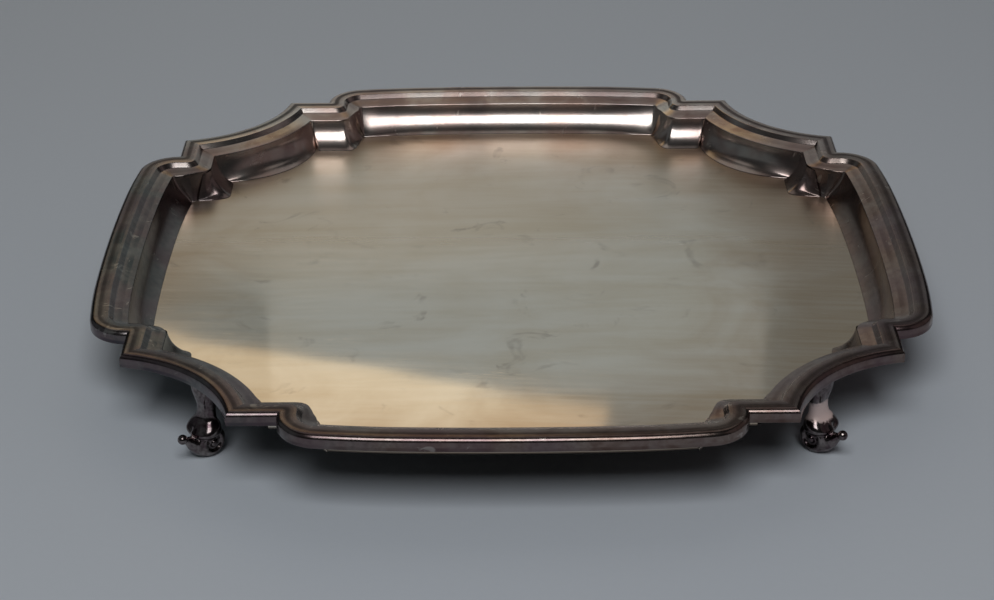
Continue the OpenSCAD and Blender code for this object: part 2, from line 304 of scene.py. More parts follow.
def scoop_solid(plan, top, foot, top_z, lens, sag):
    """A hollow scoop between its ridge line and its foot line, as rings, with their tarnish and painted shade.

    The lens is how much of a bevel stands at its foot, and the sag is the depth of the hollow.
    """
    across = foot - top
    width = np.linalg.norm(across, axis=1)[:, None]
    across = across / width
    width = width[:, 0]
    foot_z = plan.plate_z + 0.3
    crease_w = width - 2.5 * lens
    crease_z = foot_z + 1.55 * lens
    rings, dark = [], []

    def put(w, z, shade):
        rings.append(np.concatenate((top + across * w[:, None], z[:, None]), 1))
        dark.append(np.full(len(top), shade))

    start_w, start_z = np.full(len(top), 0.12), top_z - 0.22
    chord_w, chord_z = crease_w - start_w, crease_z - start_z
    chord = np.hypot(chord_w, chord_z)
    for s in np.linspace(0, 1, 17):
        hollow = sag * 4 * s * (1 - s)
        put(start_w + chord_w * s + chord_z / chord * hollow,
            start_z + chord_z * s - chord_w / chord * hollow, 0.2 * (1 - s) ** 4)
    for s in (0.04, 0.3, 0.6, 0.9):
        put(crease_w + (width - crease_w) * s,
            crease_z + (foot_z - crease_z) * s - 0.12 * lens * math.sin(math.pi * s), 0.05 + 0.15 * s)
    put(width + 0.1, np.full(len(top), foot_z - 0.08), 0.1)
    # The lip at the foot and the hidden underside below it get high values: painted shade, as under the rim
    put(width + 0.16, np.full(len(top), foot_z - 0.2), 0.9)
    put(width + 0.16, np.full(len(top), plan.plate_z - 0.03), 1.0)
    put(np.minimum(3.0, width * 0.5), np.full(len(top), plan.plate_z - 0.03), 1.0)
    put(np.full(len(top), -0.15), top_z - 1.6, 1.0)
    return round_ends(np.stack(rings, 1)), np.pad(np.stack(dark, 1), ((2, 2), (0, 0)), "edge")


def round_ends(rings, amount=0.14):
    """Rounds both ends of a scoop a little, with two more rings at each, moved on and shrunk."""
    ends = []
    for ring, inner in ((rings[0], rings[1]), (rings[-1], rings[-2])):
        on = ring[:20].mean(0) - inner[:20].mean(0)
        on = on / np.linalg.norm(on)
        inward = ring.mean(0) - ring
        inward = inward / np.linalg.norm(inward, axis=1)[:, None]
        ends.append([ring + (inward * shrink + on * move) * amount for shrink, move in ((0.3, 0.7), (1.0, 1.0))])
    return np.concatenate((ends[0][::-1], rings, ends[1]))


def side_scoop(plan):
    """The scoop of a bowed side: its ends turn in a fan about the notches."""
    ridge, _ = plan.side_run(np.array([RIDGE_IN]))
    foot, _ = plan.side_run(np.array([plan.foot_in]))
    ridge, foot = ridge[:, 0], foot[:, 0]
    stretch = 18
    notch = np.array((61.85, 128.4))
    top, low = list(ridge[:stretch]), list(foot[:stretch])
    fan = list(ridge[stretch:stretch + 14])
    fan += [plan.nose(math.radians(a), np.array([RIDGE_IN]))[0][0] for a in (6, 12, 18, 23)]
    low_end = low[-1]
    low += [low_end + (notch - low_end) * (i + 1) / len(fan) for i in range(len(fan))]
    top, low = np.array(top + fan), np.array(low)
    lens = np.where(np.arange(len(top)) < stretch, 1 - np.clip((low[:, 0] - 30) / 32, 0, 1) ** 2.2, 0) + 0.02
    top_z = np.full(len(top), plan.ridge_z)
    top_z[stretch + 14:] -= 0.15 * np.arange(1, 5)
    sag = np.interp(np.arange(len(top)), (0, stretch, stretch + 10, len(top) - 1), (1.0, 0.95, 0.6, 0.15))
    flip = (-1, 1)
    both = [np.concatenate((a[:0:-1] * flip, a)) for a in (top, low)]
    rest = [np.concatenate((a[:0:-1], a)) for a in (top_z, lens, sag)]
    return scoop_solid(plan, *both, *rest)


def return_scoop(plan):
    """The scoop of a return: rounded towards the re-entrant angle, square towards the sharp corner."""
    y, f = plan.v[1] - RIDGE_IN, plan.v[1] - plan.foot_in
    top = ((67.6, y + 2.6), (68.3, y + 1.5), (69.1, y + 0.7), (69.9, y + 0.2), (70.9, y), (74.5, y), (79.5, y),
           (82.2, y), (83.0, y), (83.4, y - 0.05), (83.6, y - 0.15))
    low = ((63.1, f + 12.4), (63.7, f + 9.2), (64.4, f + 5.8), (65.4, f + 2.4), (67.6, f + 0.2), (72.5, f), (77.5, f),
           (80.4, f + 0.1), (81.2, f + 0.9), (81.6, f + 2.2), (81.8, f + 3.7))
    step = np.arange(len(top))
    at = np.linspace(0, len(top) - 1, 45)
    lens = curve(at, step, (0.02, 0.35, 0.7, 0.95, 1, 1, 1, 0.95, 0.65, 0.3, 0.02))
    top_z = plan.ridge_z - curve(at, step, (0.5, 0.3, 0.15, 0.05, 0, 0, 0, 0, 0.02, 0.1, 0.2))
    sag = curve(at, step, (0.12, 0.4, 0.75, 0.95, 1.0, 1.0, 1.0, 1.0, 0.8, 0.5, 0.2))
    return scoop_solid(plan, curve(at, step, top), curve(at, step, low), top_z, lens, sag)


def corner_scoop(plan):
    """The scoop of an incurved corner: its foot bulges into the plate on an arc through both notches."""
    w = np.linspace(0, 1, 57)
    r = plan.corner_r + RIDGE_IN
    start = math.asin((plan.corner_c - plan.v[1] + RIDGE_IN) / r) + math.radians(0.5)
    a = start + (math.pi / 2 - 2 * start) * w
    top = plan.corner_c - r * np.stack((np.cos(a), np.sin(a)), 1)
    notch = np.array((81.75, 117.85))
    middle = plan.corner_c - (plan.corner_r + 21.4) / math.sqrt(2)
    half = (notch[1] - notch[0]) / math.sqrt(2)
    rise = (notch.sum() / 2 - middle) * math.sqrt(2)
    radius = (half ** 2 + rise ** 2) / (2 * rise)
    centre = middle + radius / math.sqrt(2)
    spread = math.asin(min(1.0, half / radius)) if rise < radius else math.pi - math.asin(half / radius)
    b = math.radians(225) + spread * (2 * w - 1)
    low = centre + radius * np.stack((np.cos(b), np.sin(b)), 1)
    side = np.abs(2 * w - 1)
    lens = np.clip(1 - side ** 2.4, 0, 1) + 0.02
    top_z = plan.ridge_z - 0.3 * side ** 8
    sag = 1.35 - 1.22 * side ** 3
    return scoop_solid(plan, top, low, top_z, lens, sag)


# ---------------------------------------------------------------- meshes

def lofted(name, solids, turn=0, flip=1, sharp=32):
    """One object from closed lofts, each a stack of rings, with a value of tarnish and painted shade at every point."""
    verts, faces, shade, base = [], [], [], 0
    for rings, dark in solids:
        n, m = rings.shape[:2]
        index = base + np.arange(n * m).reshape(n, m)
        a, b = index[:-1], index[1:]
        quads = np.stack((a, b, np.roll(b, -1, 1), np.roll(a, -1, 1)), 2).reshape(-1, 4)
        faces += quads.tolist() + [index[0].tolist(), index[-1][::-1].tolist()]
        verts.append(rings.reshape(-1, 3))
        shade.append(dark.reshape(-1))
        base += n * m
    verts = np.concatenate(verts) * (flip, 1, 1)
    c, s = math.cos(math.radians(turn)), math.sin(math.radians(turn))
    verts = np.stack((verts[:, 0] * c - verts[:, 1] * s, verts[:, 0] * s + verts[:, 1] * c, verts[:, 2]), 1)
    mesh = bpy.data.meshes.new(name)
    mesh.from_pydata((verts / 1000).tolist(), [], faces)
    # The tarnish attribute holds tarnish, and painted shade on the undersides
    tarnish = mesh.attributes.new("tarnish", "FLOAT", "POINT")
    tarnish.data.foreach_set("value", np.concatenate(shade).astype(np.float32))
    return finished(name, mesh, sharp)


def finished(name, mesh, sharp=32):
    """Tidies a mesh and puts it in the scene as an object."""
    work = bmesh.new()
    work.from_mesh(mesh)
    bmesh.ops.dissolve_degenerate(work, dist=1e-7, edges=work.edges)
    bmesh.ops.recalc_face_normals(work, faces=work.faces)
    work.to_mesh(mesh)
    work.free()
    mesh.shade_smooth()
    mesh.set_sharp_from_angle(angle=math.radians(sharp))
    piece = bpy.data.objects.new(name, mesh)
    bpy.context.scene.collection.objects.link(piece)
    return piece


def placed(piece, node, material):
    """Gives a piece its material and its place in the frame of the CAD node it stands for."""
    piece.data.materials.append(material)
    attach(piece, "root")
    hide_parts(node)
    return piece


# ---------------------------------------------------------------- materials

SMOOTH = {"interpolation_type": "SMOOTHSTEP"}


def linear(hex_value):
    """An sRGB hex value as a linear colour."""
    parts = [int(hex_value[i:i + 2], 16) / 255 for i in (1, 3, 5)]
    return (*[p / 12.92 if p <= 0.04045 else ((p + 0.055) / 1.055) ** 2.4 for p in parts], 1.0)


def add(tree, kind, inputs=(), out=0, **settings):
    """Adds a node with its settings and links, and gives one of its outputs.

    The inputs go by name or number, or in the node's own order. Each is a value or another output.
    """
    node = tree.nodes.new("ShaderNode" + kind)
    for key, value in settings.items():
        setattr(node, key, value)
    for key, value in inputs.items() if isinstance(inputs, dict) else enumerate(inputs):
        if isinstance(value, bpy.types.NodeSocket):
            tree.links.new(value, node.inputs[key])
        else:
            node.inputs[key].default_value = value
    return node.outputs[out] if len(node.outputs) else None


def start_material(name):
    """A new material with an empty tree, and the place on the salver in millimetres."""
    material = bpy.data.materials.get(name) or bpy.data.materials.new(name)
    material.use_nodes = True
    tree = material.node_tree
    tree.nodes.clear()
    at = add(tree, "TexCoord", out="Object")
    return material, tree, add(tree, "VectorMath", {0: at, "Scale": 1000.0}, operation="SCALE")


def end_material(tree, tint, gloss, height, bare=1.0, relief=1.0, unit=0.001):
    """The surface shader. Height is in millimetres unless another unit is given in metres."""
    normal = add(tree, "Bump", {"Strength": relief, "Distance": unit, "Height": height})
    shader = add(tree, "BsdfPrincipled", {"Base Color": tint, "Roughness": gloss, "Normal": normal, "Metallic": bare})
    add(tree, "OutputMaterial", {"Surface": shader})


def turned(tree, place, angle, stretch):
    """The place turned about Z and squeezed, so that a pattern runs in that direction."""
    spun = add(tree, "Mapping", {"Vector": place, "Rotation": (0, 0, math.radians(angle))})
    return add(tree, "VectorMath", (spun, stretch), operation="MULTIPLY")


def film(tree, tint, over, value, low, high, thin=0.0, thick=1.0):
    """Lays one colour over another, from thin to thick as a value goes smoothly from low to high."""
    cover = add(tree, "MapRange", (value, low, high, thin, thick), **SMOOTH)
    return add(tree, "Mix", {0: cover, 6: tint, 7: over}, 2, data_type="RGBA")


def summed(tree, start, *parts):
    """A start with parts added to it, each a pattern and its share."""
    for value, share in parts:
        start = add(tree, "Math", (value, share, start), operation="MULTIPLY_ADD")
    return start


def scratches(tree, place, angle, width_mm, cover):
    """Thin lines about width_mm apart in one direction, broken up along their length; 1 on a line."""
    along, broken = [turned(tree, place, angle, (squeeze, 1, 1)) for squeeze in (0.02, 0.5)]
    lines = add(tree, "TexNoise", {"Vector": along, "Scale": 1 / width_mm, "Detail": 1.0})
    off = add(tree, "Math", (lines, 0.5), operation="SUBTRACT")
    thin = add(tree, "MapRange", (add(tree, "Math", (off,), operation="ABSOLUTE"), 0.012, 0.0), **SMOOTH)
    patches = add(tree, "TexNoise", {"Vector": broken, "Scale": 1 / 9, "Detail": 2.0})
    here = add(tree, "MapRange", (patches, 1 - cover, 1.05 - cover), **SMOOTH)
    return add(tree, "Math", (thin, here), operation="MULTIPLY")


def plate_silver(finish):
    """Sterling silver sheet, flattened by hammer and stake, then polished and wiped for years.

    The eye sees a mirror made satin by fine wiping marks, with slow waves in its reflections and a
    film of straw and brown tarnish that thickens towards the border.
    """
    material, tree, place = start_material("Polished sterling silver plate")
    clean, straw, amber, brown, soot_and_shade = [linear(getattr(finish, key)) for key in
                                        ("silver", "straw", "amber", "brown", "soot_and_shade")]
    x, y, z = add(tree, "SeparateXYZ", (place,)).node.outputs
    # Scales are one over the size of the marks in millimetres
    cloud = add(tree, "TexNoise", {"Vector": place, "Scale": 1 / 46, "Detail": 4.0, "Roughness": 0.55,
                                   "Distortion": 0.6})
    wipe = add(tree, "TexNoise", {"Vector": turned(tree, place, 5, (0.045, 1, 1)), "Scale": 1 / 2.6, "Detail": 4.0,
                                  "Roughness": 0.6})
    broad = add(tree, "TexNoise", {"Vector": turned(tree, place, -3, (0.12, 1, 1)), "Scale": 1 / 11, "Detail": 3.0,
                                   "Roughness": 0.55, "Distortion": 0.4})
    hair = add(tree, "TexNoise", {"Vector": turned(tree, place, 2, (0.012, 1, 1)), "Scale": 1 / 0.5, "Detail": 2.0,
                                  "Roughness": 0.6})
    spots = add(tree, "TexNoise", {"Vector": place, "Scale": 1 / 21, "Detail": 3.0, "Roughness": 0.6,
                                   "Distortion": 1.2})
    waves = add(tree, "TexNoise", {"Vector": place, "Scale": 1 / 62, "Detail": 1.0, "Roughness": 0.4,
                                   "Distortion": 0.5})
    strokes = add(tree, "TexNoise", {"Vector": turned(tree, place, 5, (0.12, 1, 1)), "Scale": 1 / 14, "Detail": 1.0})
    # Distance from the middle, squarer than a circle, and more on the right, with a ragged edge
    cubes = [add(tree, "Math", (add(tree, "Math", (axis,), operation="ABSOLUTE"), 3.0), operation="POWER")
             for axis in (x, y)]
    away = add(tree, "Math", (add(tree, "Math", cubes, operation="ADD"), 1 / 3), operation="POWER")
    away = summed(tree, away, (x, 0.16), (cloud, 60.0))
    marks = scratches(tree, place, 8, 1.6, 0.42)
    for angle, width, cover in ((-28, 3.4, 0.3), (63, 4.2, 0.22)):
        marks = add(tree, "Math", (marks, scratches(tree, place, angle, width, cover)), operation="MAXIMUM")
    tint = film(tree, clean, straw, summed(tree, 0.0, (cloud, 0.5), (broad, 0.5)), 0.3, 0.72, 0.0, 0.4)
    tint = film(tree, tint, amber, away, 108, 172, 0.0, 0.6)
    tint = film(tree, tint, brown, spots, 0.6, 0.78, 0.0, 0.35)
    tint = film(tree, tint, clean, wipe, 0.35, 0.7, 0.0, 0.16)
    bright = add(tree, "Math", (marks, 0.3), operation="MULTIPLY")
    tint = add(tree, "Mix", {0: bright, 6: tint, 7: clean}, 2, data_type="RGBA")
    # The underside is painted dark with soot: painted shade under the tray, as well as tarnish where it is never
    # cleaned
    tint = film(tree, tint, soot_and_shade, z, 18.0, 17.6, 0.0, 0.8)
    under = add(tree, "MapRange", (z, 18.0, 17.6), **SMOOTH)
    edge = add(tree, "MapRange", (away, 108, 172), **SMOOTH)
    worn = add(tree, "MapRange", (y, -60, 70, 0.02, 0.32), **SMOOTH)
    gloss = summed(tree, worn, (wipe, 0.06), (under, 0.25), (edge, 0.03), (marks, 0.04))
    height = summed(tree, 0.0, (waves, finish.waviness * 1000), (strokes, 0.006), (hair, 0.0005), (marks, -0.0006))
    end_material(tree, tint, gloss, height)
    return material


def border_silver(finish):
    """Cast and filed sterling silver moulding, polished on its edges and left dark in its hollows.

    The eye sees bright rubbed ridges, sooty grooves, and patches of mauve, brown and blue-green film
    on the flats that the cloth misses. The undersides are painted dark with the same film and soot: painted shade under
    the tray.
    """
    material, tree, place = start_material("Cast sterling silver border")
    clean, rose, brown, mauve, blue, soot_and_shade = [linear(getattr(finish, key)) for key in
                                             ("silver", "rose", "brown", "mauve", "blue", "soot_and_shade")]
    x, y, _ = add(tree, "SeparateXYZ", (place,)).node.outputs
    # The tarnish attribute holds tarnish in the hollows, and painted shade on the undersides
    depth = add(tree, "Attribute", out="Fac", attribute_name="tarnish")
    # Scales are one over the size of the marks in millimetres
    cloud = add(tree, "TexNoise", {"Vector": place, "Scale": 1 / 17, "Detail": 4.0, "Roughness": 0.6,
                                   "Distortion": 0.8})
    patch = add(tree, "TexNoise", {"Vector": place, "Scale": 1 / 34, "Detail": 3.0, "Roughness": 0.55,
                                   "Distortion": 0.5})
    speck = add(tree, "TexNoise", {"Vector": place, "Scale": 1 / 2.4, "Detail": 4.0, "Roughness": 0.65})
    rubbed = add(tree, "TexNoise", {"Vector": place, "Scale": 1 / 9, "Detail": 3.0, "Roughness": 0.6,
                                    "Distortion": 1.5})
    swell = add(tree, "TexNoise", {"Vector": place, "Scale": 1 / 16, "Detail": 1.0, "Roughness": 0.4})
    filed = add(tree, "TexNoise", {"Vector": place, "Scale": 1 / 3.2, "Detail": 2.0, "Roughness": 0.5})
    tint = film(tree, clean, rose, cloud, 0.32, 0.68, 0.25, 0.85)
    tint = film(tree, tint, mauve, patch, 0.42, 0.66, 0.1, 0.5)
    dark = film(tree, brown, blue, summed(tree, x, (cloud, 40)), 0, -90)
    dark = film(tree, dark, mauve, patch, 0.4, 0.62, 0.1, 0.7)
    # The dark film covers the hollows everywhere, the undersides as painted shade, and most of the front, left and
    # right
    front = add(tree, "MapRange", (summed(tree, y, (cloud, 50)), 140, 60), **SMOOTH)
    outer = add(tree, "MapRange", (depth, 0.04, 0.42), **SMOOTH)
    thin = add(tree, "MapRange", (cloud, 0.35, 0.65, 0.15, 0.3), **SMOOTH)
    broken = add(tree, "MapRange", (speck, 0.25, 0.7, 0.92, 0.78), **SMOOTH)
    deep_film_and_shade = add(tree, "MapRange", (depth, 0.35, 0.75, 0.0, 0.78), **SMOOTH)
    cover = add(tree, "Math", (outer, summed(tree, thin, (front, 0.7))), operation="MULTIPLY")
    for other in (deep_film_and_shade, add(tree, "Math", (front, broken), operation="MULTIPLY")):
        cover = add(tree, "Math", (cover, other), operation="MAXIMUM")
    pale = add(tree, "MapRange", (rubbed, 0.64, 0.72, 0.0, 0.25), **SMOOTH)
    # Soot in the hollows, and on the undersides as painted shade under the tray
    sooty = add(tree, "MapRange", (depth, 0.45, 1.0), **SMOOTH)
    uneven = add(tree, "MapRange", (speck, 0.25, 0.6, 0.6, 1.0), **SMOOTH)
    grime_and_shade = add(tree, "Math", (sooty, uneven), operation="MULTIPLY")
    for over, amount in ((dark, cover), (clean, pale), (soot_and_shade, add(tree, "Math", (grime_and_shade, 0.85), operation="MULTIPLY"))):
        tint = add(tree, "Mix", {0: amount, 6: tint, 7: over}, 2, data_type="RGBA")
    gloss = summed(tree, 0.15, (cloud, 0.16), (grime_and_shade, 0.3), (pale, 0.3))
    height = summed(tree, 0.0, (swell, 0.02), (filed, 0.0022), (speck, 0.0008))
    end_material(tree, tint, gloss, height)
    return material


def foot_silver(finish):
    """Lost-wax cast sterling silver, chased and polished, and seldom cleaned.

    The eye sees dark grey metal with sharp small highlights, a slightly uneven skin, and a patch on
    one foot: a painted pink reflection on its leg.
    """
    material, tree, place = start_material("Cast sterling silver foot")
    clean, mauve, soot_and_shade, paste = [linear(getattr(finish, key)) for key in ("silver", "mauve", "soot_and_shade", "paste")]
    # Scales are one over the size of the marks in millimetres
    cloud = add(tree, "TexNoise", {"Vector": place, "Scale": 1 / 5, "Detail": 4.0, "Roughness": 0.6, "Distortion": 0.6})
    speck = add(tree, "TexNoise", {"Vector": place, "Scale": 1 / 1.1, "Detail": 4.0, "Roughness": 0.65})
    # A painted pink reflection on the leg of the front right foot: pale, dull and only partly metal
    away = add(tree, "VectorMath", (place, (104.5, -104.5, 15.0)), "Value", operation="DISTANCE")
    away = summed(tree, away, (speck, 3.0))
    painted_reflection = add(tree, "MapRange", (away, 7.6, 6.4), **SMOOTH)
    tint = film(tree, clean, mauve, cloud, 0.35, 0.65, 0.7, 0.98)
    tint = film(tree, tint, soot_and_shade, speck, 0.4, 0.7, 0.25, 0.7)
    tint = film(tree, tint, paste, away, 7.6, 6.4, 0.0, 0.92)
    gloss = summed(tree, 0.10, (speck, 0.14), (painted_reflection, 0.35))
    height = summed(tree, 0.0, (cloud, 0.05), (speck, 0.008))
    end_material(tree, tint, gloss, height, bare=summed(tree, 1.0, (painted_reflection, -0.85)))
    return material


def floor_paper(stage):
    """Matt background paper, rolled out flat: an even pale grey with the faintest grain."""
    material, tree, place = start_material("Pale background paper")
    grain = add(tree, "TexNoise", {"Vector": place, "Scale": 1 / 3.0, "Detail": 4.0, "Roughness": 0.6})
    base = linear(stage.floor)
    tint = film(tree, base, (*(0.8 * v for v in base[:3]), 1), grain, 0.3, 0.7, 0.0, 0.04)
    end_material(tree, tint, 0.75, grain, bare=0.0, relief=0.15, unit=0.0002)
    return material


# ---------------------------------------------------------------- plate

def plate_outline(plan, d):
    """The whole outline in plan at one distance in."""
    d = np.array([d])
    side, _ = plan.side_run(d)
    back, _ = plan.return_run(d)
    corner, _ = plan.corner_run(d)
    side, back, corner = side[:, 0], back[:, 0], corner[:, 0]
    quarter = np.concatenate((side, back[1:], corner[1:], back[-2:0:-1][:, ::-1]))
    ring = []
    for turn in range(0, -360, -90):
        c, s = math.cos(math.radians(turn)), math.sin(math.radians(turn))
        whole = np.concatenate((quarter, side[:0:-1][:, ::-1]))
        ring.append(np.stack((whole[:, 0] * c - whole[:, 1] * s, whole[:, 0] * s + whole[:, 1] * c), 1))
    return np.concatenate(ring)


def punch(kind, size):
    """Outline of one small generic punch: an oval, a shield, a cut-corner square or a tablet."""
    if kind == "oval":
        a = np.linspace(0, 2 * math.pi, 24, endpoint=False)
        return np.stack((np.cos(a) * size * 0.62, np.sin(a) * size), 1)
    shapes = {
        "shield": ((-0.8, 0.9), (0.8, 0.9), (0.8, -0.1), (0.45, -0.7), (0, -1), (-0.45, -0.7), (-0.8, -0.1)),
        "cut": ((-0.8, 0.45), (-0.45, 0.85), (0.45, 0.85), (0.8, 0.45),
                (0.8, -0.45), (0.45, -0.85), (-0.45, -0.85), (-0.8, -0.45)),
        "tablet": ((-0.75, 1.3), (0.75, 1.3), (0.75, -1.3), (-0.75, -1.3)),
    }
    return np.array(shapes[kind], float) * size


def plate_mesh(plan):
    """The plate as a sheet, with the recesses of four small punches near its left edge.

    Known fault: the top is filled as one face that runs over the recesses, so they don't show.
    """
    outline = plate_outline(plan, PLATE_IN)
    outline = outline[np.linalg.norm(outline - np.roll(outline, 1, 0), axis=1) > 0.02]
    area = outline[:, 0] @ np.roll(outline[:, 1], -1) - outline[:, 1] @ np.roll(outline[:, 0], -1)
    if area < 0:
        outline = outline[::-1]
    marks = [punch(kind, size) + (-119.8 - 0.35 * k, -20.2 - 7.4 * k)
             for k, (kind, size) in enumerate((("tablet", 1.35), ("cut", 1.75), ("oval", 1.9), ("shield", 1.75)))]
    verts, faces = [], []
    top, low = plan.plate_z, plan.plate_z - plan.plate_t

    def fill(loops, z, up):
        """Fills the first loop, with the others as holes."""
        edges, start = [], 0
        for loop in loops:
            edges += [(start + i, start + (i + 1) % len(loop)) for i in range(len(loop))]
            start += len(loop)
        kind = 3 if len(loops) > 1 else 1
        points, _, found, *_ = delaunay_2d_cdt([Vector(p) for p in np.concatenate(loops)], edges, [], kind, 1e-5)
        base = len(verts)
        verts.extend((p[0], p[1], z) for p in points)
        for face in found:
            centre = sum((points[i] for i in face), Vector((0, 0))) / len(face)
            if not any(inside(centre, loop) for loop in loops[1:]):
                faces.append([base + i for i in (face if up else face[::-1])])

    def wall(loop, z, other, other_z):
        """Joins two loops of as many points."""
        base, n = len(verts), len(loop)
        verts.extend((p[0], p[1], z) for p in loop)
        verts.extend((p[0], p[1], other_z) for p in other)
        faces.extend([base + i, base + (i + 1) % n, base + n + (i + 1) % n, base + n + i] for i in range(n))

    fill([outline] + marks, top, True)
    fill([outline], low, False)
    wall(outline, low, outline, top)
    for loop in marks:
        centre = loop.mean(0)
        floor = centre + (loop - centre) * 0.85
        wall(loop, top, floor, top - PUNCH_DEPTH)
        fill([floor], top - PUNCH_DEPTH, True)
        motif(verts, faces, centre, top - PUNCH_DEPTH)
    mesh = bpy.data.meshes.new("plate_sheet")
    mesh.from_pydata([(x / 1000, y / 1000, z / 1000) for x, y, z in verts], [], faces)
    work = bmesh.new()
    work.from_mesh(mesh)
    bmesh.ops.remove_doubles(work, verts=work.verts, dist=1e-6)
    work.to_mesh(mesh)
    work.free()
    return mesh


def inside(p, loop):
    """Whether a plan point lies inside a loop."""
    hit = False
    for (x0, y0), (x1, y1) in zip(loop, np.roll(loop, -1, 0)):
        if (y0 > p[1]) != (y1 > p[1]) and p[0] < (x1 - x0) * (p[1] - y0) / (y1 - y0) + x0:
            hit = not hit
    return hit


def motif(verts, faces, centre, z):
    """A small raised device inside a punch: two bosses over a bar, each with sloping sides."""
    for dx, dy, sx, sy in ((-0.45, 0.35, 0.4, 0.5), (0.45, 0.35, 0.4, 0.5), (0.0, -0.65, 0.75, 0.3)):
        base = len(verts)
        ring = [(math.cos(a), math.sin(a)) for a in np.linspace(0, 2 * math.pi, 10, endpoint=False)]
        for inset, lift in ((0.0, -0.01), (0.2, 0.24)):
            verts.extend((centre[0] + dx + x * (sx - inset), centre[1] + dy + y * (sy - inset), z + lift)
                         for x, y in ring)
        faces.extend([base + i, base + (i + 1) % 10, base + 10 + (i + 1) % 10, base + 10 + i] for i in range(10))
        faces.append([base + 10 + i for i in range(10)])
        faces.append([base + 9 - i for i in range(10)])


# ---------------------------------------------------------------- feet

def lathe(section, segments=48):
    """Verts and faces of an outline turned about Y; the outline gives (radius, y)."""
    verts, faces, m = [], [], len(section)
    for k in range(segments):
        a = 2 * math.pi * k / segments
        verts += [(r * math.cos(a), y, r * math.sin(a)) for r, y in section]
    for k in range(segments):
        for i in range(m - 1):
            a, b = k * m + i, ((k + 1) % segments) * m + i
            faces.append([a, a + 1, b + 1, b])
    return verts, faces


